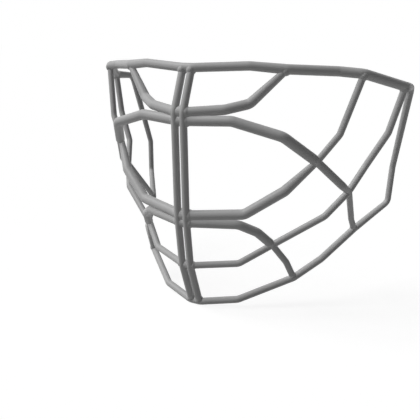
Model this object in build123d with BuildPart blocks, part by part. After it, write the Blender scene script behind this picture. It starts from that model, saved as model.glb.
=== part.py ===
"""Welded steel wire cage of an ice hockey goalie mask, with cat-eye openings.

Frame: millimetres, +X to the wearer's left, -Y to the front, +Z up. The origin is the middle of
the top of the rim, where the forehead clip holds the cage on its shell.

The cage is a weldment of eight bent wires. One closed rim follows the opening of the shell. Two
upright bars stand close together in front of the nose. Five cross wires lie behind the bars: the
upper eye wire, the brow wire, the temple wire, the mouth wire and the jaw wire. Where two wires
cross, they are pressed into each other and fused, and every wire end is coped to the rim.
"""

from build123d import *
from math import radians, sqrt, tan
import os

os.makedirs("parts", exist_ok=True)

# ---------------------------------------------------------------- driving dimensions, mm

# Wire gauges. Wires are swaged: heavy in front of the face, lighter at the sides.
rim_crown_gauge = 5.9
rim_temple_gauge = 6.5
rim_rear_gauge = 4.5
rim_chin_gauge = 5.2
bar_gauge = 5.1
upper_eye_gauge = 6.7
upper_eye_end_gauge = 4.5
brow_gauge = 6.9
brow_cheek_gauge = 5.6
brow_end_gauge = 4.4
temple_gauge = 7.1
temple_end_gauge = 4.6
jaw_gauge = 6.4
jaw_end_gauge = 4.7
mouth_gauge = 4.8

bend_radius = 8.0        # centre line radius of the bending die
corner_radius = 6.0      # tighter die for the two rear corners of the rim
bar_gap = 1.5            # between the two upright bars
crown_flat = 4.2         # half of the straight run that each cross wire has behind the bars
bar_relief = 0.9         # how far the upright bars stand out in front of the cross wires
set_down = 4.2           # how far two wires that cross on the cheek are pressed into each other
outer_share = 0.25       # part of their offset by which the outer one stands out of the cage's form
shoulder = 3.0           # length of the step from a heavy gauge to a light one at a crossing
weld_leg = 0.6           # width of a weld beside the wire that it holds
weld_rise = 0.3          # how far a centre weld stands out in front of the cross wire
weld_flush = 0.1         # how far an end weld stays inside the far side of the rim

# Bend points of the rim on the left half: out from the centre plane, back, and height
rim_crown_height = 0.0
rim_brow_bend = (39.5, 10.5, 1.5)
rim_eye_bend = (61, 20.5, -0.5)
rim_side_bend = (87.5, 41, -2)
rim_temple_bend = (102, 48, -3.5)
rim_ear_bend = (121.5, 80, -13)
rim_upper_corner = (121, 102, -15)
rim_rear_bend = (111, 113, -75.5)
rim_lower_corner = (110, 111.5, -102.5)
rim_cheek_bend = (92, 88, -120.5)
rim_jaw_bend = (77.5, 58.5, -137.5)
rim_mouth_bend = (62, 44.5, -150.5)
rim_chin_bend = (30, 18, -164.5)
rim_chin_back = 8
rim_chin_height = -168

# The upright bars, from the rim's crown to the chin: back and height of each bend
bar_brow_bend = (-11, -27)
bar_nose_bend = (-9, -98.5)
bar_mouth_bend = (-4, -136)

# Cross wires: the height behind the bars, then the bend points out to the side
upper_eye_height = -27.5
upper_eye_front_bend = (27.5, 0, -25.5)
upper_eye_side_bend = (40.5, 9.5, -22)

brow_height = -33
brow_front_bend = (34, -2.5, -32)
brow_side_bend = (65, 8, -41)
brow_cheek_bend = (92.5, 47.5, -77.5)
brow_low_bend = (92, 79, -110.5)

temple_height = -97.5
temple_front_bend = (40.5, 4.5, -94.5)
temple_low_bend = (64, 16, -78)
temple_high_bend = (92, 37.5, -41.5)

jaw_height = -103
jaw_front_bend = (36, 5, -102.5)
jaw_cheek_bend = (46, 14, -109)
jaw_low_bend = (59, 36.5, -136)

mouth_height = -135.5
mouth_front_bend = (34, 10.5, -133)
mouth_cheek_bend = (83.5, 42.5, -99.5)
mouth_side_bend = (102, 69.5, -67)
mouth_high_bend = (114, 75.5, -44)

# Where wires cross on the cheek: the point of the cage's form between the two wires
brow_temple_crossing = (80.5, 30, -59.5)
brow_mouth_crossing = (95, 57, -84)
mouth_jaw_crossing = (52.5, 26, -121)


# ---------------------------------------------------------------- geometry of a bent wire

def other_side(point):
    """The same point on the other half of the cage."""
    return Vector(-point.X, point.Y, point.Z)


def both_halves(half):
    """A cross wire's whole path from the half on +X, which starts beside the centre plane."""
    return [other_side(point) for point in reversed(half)] + half


def bend_geometry(before, corner, after, radius):
    """Start, end, axis and angle of the tangent bend at a corner, kept within its two runs."""
    inward, outward = (corner - before).normalized(), (after - corner).normalized()
    turn = inward.get_angle(outward)
    half_tangent = tan(radians(turn / 2))
    shorter = min((corner - before).length, (after - corner).length)
    radius = min(radius, 0.48 * shorter / half_tangent)
    setback = radius * half_tangent
    normal = inward.cross(outward).normalized()
    start = corner - inward * setback
    centre = start + normal.cross(inward) * radius
    return start, corner + outward * setback, Axis(centre, normal), turn


def straight_run(start, end, start_gauge, end_gauge, stepped):
    """A straight run of round wire. Where its gauges differ it tapers over its whole length, or
    if stepped only over a short shoulder at its lighter end."""
    along = (end - start).normalized()
    length = (end - start).length
    outline = [(0, 0), (length, 0), (length, end_gauge / 2)]
    if stepped:
        foot = length - shoulder if end_gauge < start_gauge else shoulder
        outline.append((foot, max(start_gauge, end_gauge) / 2))
    outline.append((0, start_gauge / 2))
    beside = Plane(start, z_dir=along).x_dir
    with BuildSketch(Plane(start, x_dir=along, z_dir=along.cross(beside))) as half_section:
        Polygon(*outline, align=None)
    revolve(half_section.sketch, axis=Axis(start, along))


def round_bend(start, along, gauge, axis, turn):
    """A bend of round wire about the bending die's axis."""
    with BuildSketch(Plane(start, z_dir=along)) as section:
        Circle(gauge / 2)
    revolve(section.sketch, axis=axis, revolution_arc=turn)


def form_wire(points, gauges, radii, closed=False, steps=()):
    """A wire through its bend points, with a gauge and a bend radius at each of them. The gauge
    changes along a run, or at a shoulder beside a point in steps."""
    count = len(points)
    corners = range(count) if closed else range(1, count - 1)
    bends = {
        i: bend_geometry(points[i - 1], points[i], points[(i + 1) % count], radii[i])
        for i in corners
    }
    for i in range(count if closed else count - 1):
        j = (i + 1) % count
        start = bends[i][1] if i in bends else points[i]
        end = bends[j][0] if j in bends else points[j]
        stepped = gauges[i] != gauges[j] and (i in steps or j in steps)
        straight_run(start, end, gauges[i], gauges[j], stepped)
    for i, (start, end, axis, turn) in bends.items():
        round_bend(start, points[i] - points[i - 1], gauges[i], axis, turn)


# ---------------------------------------------------------------- centre lines

bar_offset = (bar_gauge + bar_gap) / 2
face_middle = Vector(0, rim_lower_corner[1] / 2, rim_chin_height / 2)

rim_half = [
    Vector(crown_flat, 0, rim_crown_height),
    Vector(rim_brow_bend),
    Vector(rim_eye_bend),
    Vector(rim_side_bend),
    Vector(rim_temple_bend),
    Vector(rim_ear_bend),
    Vector(rim_upper_corner),
    Vector(rim_rear_bend),
    Vector(rim_lower_corner),
    Vector(rim_cheek_bend),
    Vector(rim_jaw_bend),
    Vector(rim_mouth_bend),
    Vector(rim_chin_bend),
    Vector(crown_flat, rim_chin_back, rim_chin_height),
]
rim_half_gauges = [rim_crown_gauge] * 2 + [rim_temple_gauge] * 4 + [rim_chin_gauge]
rim_half_gauges += [rim_rear_gauge] * 2 + [rim_chin_gauge] * 5
rim_half_radii = [bend_radius] * 6 + [corner_radius, bend_radius, corner_radius]
rim_half_radii += [bend_radius] * 5

bar_points = [
    Vector(bar_offset, 0, rim_crown_height),
    Vector(bar_offset, *bar_brow_bend),
    Vector(bar_offset, *bar_nose_bend),
    Vector(bar_offset, *bar_mouth_bend),
    Vector(bar_offset, rim_chin_back, rim_chin_height),
]


def bar_back_at(height):
    """How far back the centre line of the upright bars lies at a height."""
    for upper, lower in zip(bar_points, bar_points[1:]):
        if lower.Z <= height:
            return lower.Y + (upper.Y - lower.Y) * (height - lower.Z) / (upper.Z - lower.Z)


def cross_wire_front(height):
    """How far back the front of a cross wire lies where it passes the upright bars."""
    return bar_back_at(height) - bar_gauge / 2 + bar_relief


def behind_bars(height, gauge):
    """The end of a cross wire's straight run behind the bars, on the left half."""
    return Vector(crown_flat, cross_wire_front(height) + gauge / 2, height)


def crossing(point, outer_run, inner_run, outer_gauge, inner_gauge):
    """Centre line points of the outer and the inner wire where they cross on the cheek."""
    apart = (outer_gauge + inner_gauge) / 2 - set_down
    outward = (outer_run[1] - outer_run[0]).cross(inner_run[1] - inner_run[0]).normalized()
    if outward.dot(point - face_middle) < 0:
        outward = -outward
    return point + outward * apart * outer_share, point - outward * apart * (1 - outer_share)


brow_side, brow_cheek = Vector(brow_side_bend), Vector(brow_cheek_bend)
temple_low, temple_high = Vector(temple_low_bend), Vector(temple_high_bend)
brow_low = Vector(brow_low_bend)
mouth_cheek, mouth_side = Vector(mouth_cheek_bend), Vector(mouth_side_bend)
mouth_front = Vector(mouth_front_bend)
jaw_cheek, jaw_low = Vector(jaw_cheek_bend), Vector(jaw_low_bend)

brow_over_temple, temple_under_brow = crossing(
    Vector(brow_temple_crossing),
    (brow_side, brow_cheek), (temple_low, temple_high),
    brow_cheek_gauge, temple_end_gauge,
)
brow_over_mouth, mouth_under_brow = crossing(
    Vector(brow_mouth_crossing),
    (brow_cheek, brow_low), (mouth_cheek, mouth_side),
    brow_end_gauge, mouth_gauge,
)
jaw_over_mouth, mouth_under_jaw = crossing(
    Vector(mouth_jaw_crossing),
    (jaw_cheek, jaw_low), (mouth_front, mouth_cheek),
    jaw_end_gauge, mouth_gauge,
)

upper_eye_half = [
    behind_bars(upper_eye_height, upper_eye_gauge),
    Vector(upper_eye_front_bend),
    Vector(upper_eye_side_bend),
    Vector(rim_eye_bend),
]
brow_half = [
    behind_bars(brow_height, brow_gauge),
    Vector(brow_front_bend),
    brow_side,
    brow_over_temple,
    brow_cheek,
    brow_over_mouth,
    brow_low,
    Vector(rim_cheek_bend),
]
temple_half = [
    behind_bars(temple_height, temple_gauge),
    Vector(temple_front_bend),
    temple_low,
    temple_under_brow,
    temple_high,
    Vector(rim_temple_bend),
]
jaw_half = [
    behind_bars(jaw_height, jaw_gauge),
    Vector(jaw_front_bend),
    jaw_cheek,
    jaw_over_mouth,
    jaw_low,
    Vector(rim_mouth_bend),
]
mouth_half = [
    behind_bars(mouth_height, mouth_gauge),
    mouth_front,
    mouth_under_jaw,
    mouth_cheek,
    mouth_under_brow,
    mouth_side,
    Vector(mouth_high_bend),
    Vector(rim_ear_bend),
]

upper_eye_half_gauges = [upper_eye_gauge] * 3 + [upper_eye_end_gauge]
brow_half_gauges = [brow_gauge] * 3 + [brow_cheek_gauge] * 2 + [brow_end_gauge] * 3
temple_half_gauges = [temple_gauge] * 3 + [temple_end_gauge] * 3
jaw_half_gauges = [jaw_gauge] * 3 + [jaw_end_gauge] * 3


# ---------------------------------------------------------------- wires

def cross_wire(half, half_gauges, step=None):
    """A cross wire from rim to rim, on both halves. Its gauge steps down at half[step]."""
    path = both_halves(half)
    gauges = half_gauges[::-1] + half_gauges
    steps = [] if step is None else [len(half) - 1 - step, len(half) + step]
    form_wire(path, gauges, [bend_radius] * len(path), steps=steps)


with BuildPart() as rim:
    form_wire(
        both_halves(rim_half),
        rim_half_gauges[::-1] + rim_half_gauges,
        rim_half_radii[::-1] + rim_half_radii,
        closed=True,
    )
rim.part.label = "rim"

with BuildPart() as centre_bar_left:
    form_wire(bar_points, [bar_gauge] * len(bar_points), [bend_radius] * len(bar_points))
    add(rim.part, mode=Mode.SUBTRACT)
centre_bar_left.part.label = "centre_bar_left"

with BuildPart() as centre_bar_right:
    mirror(centre_bar_left.part, about=Plane.YZ)
centre_bar_right.part.label = "centre_bar_right"

behind = [rim.part, centre_bar_left.part, centre_bar_right.part]

with BuildPart() as brow_wire:
    cross_wire(brow_half, brow_half_gauges, step=brow_half.index(brow_over_temple))
    add(behind, mode=Mode.SUBTRACT)
brow_wire.part.label = "brow_wire"

with BuildPart() as upper_eye_wire:
    cross_wire(upper_eye_half, upper_eye_half_gauges)
    add(behind + [brow_wire.part], mode=Mode.SUBTRACT)
upper_eye_wire.part.label = "upper_eye_wire"

with BuildPart() as temple_wire:
    cross_wire(temple_half, temple_half_gauges)
    add(behind + [brow_wire.part], mode=Mode.SUBTRACT)
temple_wire.part.label = "temple_wire"

with BuildPart() as jaw_wire:
    cross_wire(jaw_half, jaw_half_gauges, step=jaw_half.index(jaw_over_mouth))
    add(behind + [temple_wire.part], mode=Mode.SUBTRACT)
jaw_wire.part.label = "jaw_wire"

with BuildPart() as mouth_wire:
    cross_wire(mouth_half, [mouth_gauge] * len(mouth_half))
    add(behind + [brow_wire.part, jaw_wire.part], mode=Mode.SUBTRACT)
mouth_wire.part.label = "mouth_wire"


# ---------------------------------------------------------------- welds

def centre_weld(height, gauge):
    """A collar of filler metal round a cross wire where it passes both upright bars, a weld leg
    wider than they are, before the wires are cut out."""
    radius = gauge / 2 + weld_leg
    middle = Vector(0, cross_wire_front(height) - weld_rise + radius, height)
    shoulder_at = bar_offset + bar_gauge / 2 + weld_leg - sqrt(radius ** 2 - (gauge / 2) ** 2)
    with BuildSketch(Plane(middle, x_dir=(1, 0, 0), z_dir=(0, -1, 0))) as half_slot:
        with BuildLine():
            Line((-shoulder_at - radius, 0), (shoulder_at + radius, 0))
            CenterArc((shoulder_at, 0), radius, 0, 90)
            Line((shoulder_at, radius), (-shoulder_at, radius))
            CenterArc((-shoulder_at, 0), radius, 90, 90)
        make_face()
    revolve(half_slot.sketch, axis=Axis(middle, (1, 0, 0)))


def end_weld(end, before, gauge, rim_gauge):
    """The weld of a wire's coped left end on the rim, before the wires are cut out of it."""
    along = (before - end).normalized()
    seat = (gauge / 2 + weld_leg) ** 2 / rim_gauge
    radius = sqrt((rim_gauge / 2 - weld_flush) ** 2 + seat ** 2)
    with Locations(Plane(end + along * seat, z_dir=along)):
        Sphere(radius)


bars = [centre_bar_left.part, centre_bar_right.part]

with BuildPart() as brow_centre_weld:
    centre_weld(upper_eye_height, upper_eye_gauge)
    centre_weld(brow_height, brow_gauge)
    add(bars + [upper_eye_wire.part, brow_wire.part], mode=Mode.SUBTRACT)
brow_centre_weld.part.label = "brow_centre_weld"

with BuildPart() as nose_centre_weld:
    centre_weld(temple_height, temple_gauge)
    centre_weld(jaw_height, jaw_gauge)
    add(bars + [temple_wire.part, jaw_wire.part], mode=Mode.SUBTRACT)
nose_centre_weld.part.label = "nose_centre_weld"

with BuildPart() as mouth_centre_weld:
    centre_weld(mouth_height, mouth_gauge)
    add(bars + [mouth_wire.part], mode=Mode.SUBTRACT)
mouth_centre_weld.part.label = "mouth_centre_weld"

# Each wire end on the left half: the weld's name, the wire's points up to that end, its gauge
# there, the rim's gauge and the wire
wire_ends = [
    ("bar_crown_weld", bar_points[1::-1], bar_gauge, rim_crown_gauge, centre_bar_left),
    ("bar_chin_weld", bar_points[-2:], bar_gauge, rim_chin_gauge, centre_bar_left),
    ("upper_eye_end_weld", upper_eye_half[-2:], upper_eye_end_gauge, rim_temple_gauge, upper_eye_wire),
    ("brow_end_weld", brow_half[-2:], brow_end_gauge, rim_chin_gauge, brow_wire),
    ("temple_end_weld", temple_half[-2:], temple_end_gauge, rim_temple_gauge, temple_wire),
    ("mouth_end_weld", mouth_half[-2:], mouth_gauge, rim_temple_gauge, mouth_wire),
    ("jaw_end_weld", jaw_half[-2:], jaw_end_gauge, rim_chin_gauge, jaw_wire),
]
end_welds = []
for name, (before, end), gauge, rim_gauge, wire in wire_ends:
    with BuildPart() as left_weld:
        end_weld(end, before, gauge, rim_gauge)
        add([rim.part, wire.part], mode=Mode.SUBTRACT)
    left_weld.part.label = name + "_left"
    with BuildPart() as right_weld:
        mirror(left_weld.part, about=Plane.YZ)
    right_weld.part.label = name + "_right"
    end_welds += [left_weld, right_weld]


# ---------------------------------------------------------------- files

for piece in (
    rim, centre_bar_left, centre_bar_right,
    upper_eye_wire, brow_wire, temple_wire, jaw_wire, mouth_wire,
    brow_centre_weld, nose_centre_weld, mouth_centre_weld, *end_welds,
):
    export_step(piece.part, f"parts/{piece.part.label}.step")
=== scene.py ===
"""Looks of the goalie mask cage: satin grey powder coat on welded steel wire, on a white floor.

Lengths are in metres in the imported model's frame: +X is the wearer's left, -Y the front, +Z up.
The cage's own meshes are kept as they are. This script gives them their coats, and adds a camera,
two suns, the room and a floor.
"""

import math

import bpy
from mathutils import Euler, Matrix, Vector


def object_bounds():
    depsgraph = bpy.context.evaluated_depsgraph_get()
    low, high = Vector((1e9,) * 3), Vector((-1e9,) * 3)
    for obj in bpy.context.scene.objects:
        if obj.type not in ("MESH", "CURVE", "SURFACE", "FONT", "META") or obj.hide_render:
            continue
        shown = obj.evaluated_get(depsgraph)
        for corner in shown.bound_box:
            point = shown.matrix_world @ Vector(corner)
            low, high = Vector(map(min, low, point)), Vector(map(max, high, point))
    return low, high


# Camera: it looks at a point a little off the middle of the cage's box, from its front left and
# above.
LENS_MM = 50.0
SENSOR_MM = 36.0
CAMERA_TURN = math.radians(29.6)  # from straight in front towards the wearer's left
CAMERA_DIP = math.radians(16.9)  # below the horizon
CAMERA_DISTANCE = 0.443
AIM_OFFSET = Vector((-0.0054, -0.0116, -0.0243))

# Light: two broad suns from the same side, front right of the wearer and above, and an even room.
# The key casts shadows. The fill doesn't, so that the thin wires darken each other less.
LAMP_TURN = math.radians(-62.0)
LAMP_DIP = math.radians(52.0)
LAMP_SPREAD = math.radians(30.0)
KEY_STRENGTH = 0.9
FILL_STRENGTH = 2.0
ROOM_STRENGTH = 0.04
BACKGROUND_STRENGTH = 1.0  # what the camera sees of the room, as white
WHITE = (1.0, 1.0, 1.0, 1.0)

# Floor
FLOOR_HALF_SIDE = 6.0
FLOOR_COLOUR = 0.45
FLOOR_GLOW = 0.655  # what the camera sees on top of the lit floor, so that it reads as white

# Powder coat on the wires. Spreads are what a value varies by to either side.
COAT_COLOUR = 0.44
COAT_TONE_SPREAD = 0.025  # slow change of tone along a wire
COAT_TONE_LENGTH = 0.03
COAT_TONE_DETAIL = 3.0
COAT_FLECK_SPREAD = 0.03  # grain of the powder
COAT_FLECK_LENGTH = 0.0005
COAT_FLECK_DETAIL = 2.0
COAT_GLOSS = 0.2
COAT_ROUGHNESS = 0.45
COAT_ROUGHNESS_SPREAD = 0.06
ORANGE_PEEL_LENGTH = 0.0009
ORANGE_PEEL_HEIGHT = 0.000016
ORANGE_PEEL_DETAIL = 1.0

# The same coat on the weld beads, which are rippled under it
WELD_COLOUR = 0.43
WELD_ROUGHNESS = 0.52
RIPPLE_LENGTH = 0.0013
RIPPLE_HEIGHT = 0.00004
RIPPLE_WAVER = 5.0
RIPPLE_DETAIL = 2.0

# How Blender's textures count
NOISE_LOW = 0.25  # noise lies mostly between these two
NOISE_HIGH = 0.75
WAVE_UNIT = 0.314  # distance between the wave texture's rings at a scale of 1


def heading(turn, dip):
    """Rotation that looks along +Y turned by turn about +Z, dip below the horizon."""
    return Euler((math.pi / 2 - dip, 0.0, turn))


def add_node(tree, kind, **values):
    """A node of this kind with these inputs set. A name's underscores stand for spaces."""
    node = tree.nodes.new(kind)
    for name, value in values.items():
        node.inputs[name.replace("_", " ")].default_value = value
    return node


def noise(tree, place, length, detail):
    """Noise whose patches are about this long."""
    node = add_node(tree, "ShaderNodeTexNoise", Scale=1.0 / length, Detail=detail)
    tree.links.new(place, node.inputs["Vector"])
    return node.outputs["Fac"]


def spread_about(tree, value, middle, spread):
    """Noise turned into numbers about middle, spread to either side."""
    node = add_node(
        tree,
        "ShaderNodeMapRange",
        From_Min=NOISE_LOW,
        From_Max=NOISE_HIGH,
        To_Min=middle - spread,
        To_Max=middle + spread,
    )
    tree.links.new(value, node.inputs["Value"])
    return node.outputs["Result"]


def multiply(tree, first, second):
    """The product of two values."""
    node = tree.nodes.new("ShaderNodeMath")
    node.operation = "MULTIPLY"
    tree.links.new(first, node.inputs[0])
    tree.links.new(second, node.inputs[1])
    return node.outputs["Value"]


def raise_by(tree, height, distance, under=None):
    """Bump of this full height in metres, on top of another bump's normal."""
    node = add_node(tree, "ShaderNodeBump", Strength=1.0, Distance=distance)
    tree.links.new(height, node.inputs["Height"])
    if under is not None:
        tree.links.new(under, node.inputs["Normal"])
    return node.outputs["Normal"]


def coat(name, colour, roughness, rippled):
    """Satin powder coat: slow tone changes, powder grain and orange peel, over ripples on a weld."""
    material = bpy.data.materials.new(name)
    material.use_nodes = True
    tree = material.node_tree
    shader = tree.nodes["Principled BSDF"]
    shader.inputs["Specular IOR Level"].default_value = COAT_GLOSS
    place = tree.nodes.new("ShaderNodeTexCoord").outputs["Object"]

    slow = noise(tree, place, COAT_TONE_LENGTH, COAT_TONE_DETAIL)
    grain = noise(tree, place, COAT_FLECK_LENGTH, COAT_FLECK_DETAIL)
    tone = spread_about(tree, slow, colour, colour * COAT_TONE_SPREAD)
    fleck = spread_about(tree, grain, 1.0, COAT_FLECK_SPREAD)
    tree.links.new(multiply(tree, tone, fleck), shader.inputs["Base Color"])

    uneven = spread_about(tree, slow, roughness, COAT_ROUGHNESS_SPREAD)
    tree.links.new(uneven, shader.inputs["Roughness"])

    under = None
    if rippled:
        ripples = add_node(
            tree,
            "ShaderNodeTexWave",
            Scale=WAVE_UNIT / RIPPLE_LENGTH,
            Distortion=RIPPLE_WAVER,
            Detail=RIPPLE_DETAIL,
        )
        ripples.wave_type = "RINGS"
        ripples.rings_direction = "SPHERICAL"
        tree.links.new(place, ripples.inputs["Vector"])
        under = raise_by(tree, ripples.outputs["Fac"], RIPPLE_HEIGHT)
    peel = noise(tree, place, ORANGE_PEEL_LENGTH, ORANGE_PEEL_DETAIL)
    surface = raise_by(tree, peel, ORANGE_PEEL_HEIGHT, under)
    tree.links.new(surface, shader.inputs["Normal"])
    return material


def seen_directly(tree):
    """1 for camera, glossy and transmission rays, which see the white background, and 0 for light."""
    path = tree.nodes.new("ShaderNodeLightPath")
    total = path.outputs["Is Camera Ray"]
    for kind in ("Is Glossy Ray", "Is Transmission Ray"):
        node = tree.nodes.new("ShaderNodeMath")
        node.operation = "MAXIMUM"
        tree.links.new(total, node.inputs[0])
        tree.links.new(path.outputs[kind], node.inputs[1])
        total = node.outputs["Value"]
    return total


def make_room():
    """An even grey light from all sides that is seen as white."""
    world = bpy.data.worlds.new("room")
    world.use_nodes = True
    bpy.context.scene.world = world
    tree = world.node_tree
    strength = add_node(
        tree,
        "ShaderNodeMapRange",
        To_Min=ROOM_STRENGTH,
        To_Max=BACKGROUND_STRENGTH,
    )
    tree.links.new(seen_directly(tree), strength.inputs["Value"])
    background = tree.nodes["Background"]
    background.inputs["Color"].default_value = WHITE
    tree.links.new(strength.outputs["Result"], background.inputs["Strength"])


def make_lamp(name, strength, casts_shadows):
    """A broad sun, the key or the fill."""
    light = bpy.data.lights.new(name, "SUN")
    light.energy = strength
    light.angle = LAMP_SPREAD
    light.use_shadow = casts_shadows
    lamp = bpy.data.objects.new(name, light)
    lamp.rotation_euler = heading(LAMP_TURN, LAMP_DIP)
    bpy.context.scene.collection.objects.link(lamp)


def make_floor(height):
    """A matt floor under the cage that keeps its shadow and reads as white elsewhere."""
    reach = FLOOR_HALF_SIDE
    corners = [(-reach, -reach), (reach, -reach), (reach, reach), (-reach, reach)]
    mesh = bpy.data.meshes.new("floor")
    mesh.from_pydata([(x, y, height) for x, y in corners], [], [(0, 1, 2, 3)])
    floor = bpy.data.objects.new("floor", mesh)
    bpy.context.scene.collection.objects.link(floor)
    material = bpy.data.materials.new("floor")
    material.use_nodes = True
    tree = material.node_tree
    shader = tree.nodes["Principled BSDF"]
    shader.inputs["Base Color"].default_value = (*[FLOOR_COLOUR] * 3, 1.0)
    shader.inputs["Roughness"].default_value = 1.0
    shader.inputs["Specular IOR Level"].default_value = 0.0
    shader.inputs["Emission Color"].default_value = WHITE
    glow = add_node(tree, "ShaderNodeMapRange", To_Min=0.0, To_Max=FLOOR_GLOW)
    tree.links.new(seen_directly(tree), glow.inputs["Value"])
    tree.links.new(glow.outputs["Result"], shader.inputs["Emission Strength"])
    mesh.materials.append(material)


def make_camera(middle):
    """The camera, which takes its place from the middle of the cage's box."""
    data = bpy.data.cameras.new("camera")
    data.lens = LENS_MM
    data.sensor_width = SENSOR_MM
    camera = bpy.data.objects.new("camera", data)
    turned = heading(CAMERA_TURN, CAMERA_DIP)
    back = turned.to_matrix() @ Vector((0.0, 0.0, 1.0))
    camera.location = middle + AIM_OFFSET + back * CAMERA_DISTANCE
    camera.rotation_euler = turned
    bpy.context.scene.collection.objects.link(camera)
    bpy.context.scene.camera = camera


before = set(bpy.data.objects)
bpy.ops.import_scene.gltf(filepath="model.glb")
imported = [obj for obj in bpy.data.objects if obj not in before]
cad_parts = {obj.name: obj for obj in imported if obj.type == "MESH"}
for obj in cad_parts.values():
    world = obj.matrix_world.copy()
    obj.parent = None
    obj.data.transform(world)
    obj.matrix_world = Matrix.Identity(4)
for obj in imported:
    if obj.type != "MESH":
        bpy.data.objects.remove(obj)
cad_box = [list(corner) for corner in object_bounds()]
lowest, highest = map(Vector, cad_box)

coats = {
    "wire": coat("wire_coat", COAT_COLOUR, COAT_ROUGHNESS, rippled=False),
    "weld": coat("weld_coat", WELD_COLOUR, WELD_ROUGHNESS, rippled=True),
}
# A weld has "weld" in its name, and every other piece is a wire.
for name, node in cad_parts.items():
    kind = "weld" if "weld" in name else "wire"
    for slot in node.material_slots:
        slot.material = coats[kind]

make_camera((lowest + highest) / 2)
make_lamp("key", KEY_STRENGTH, casts_shadows=True)
make_lamp("fill", FILL_STRENGTH, casts_shadows=False)
make_room()
make_floor(lowest.z)
bpy.context.scene.view_settings.view_transform = "Standard"
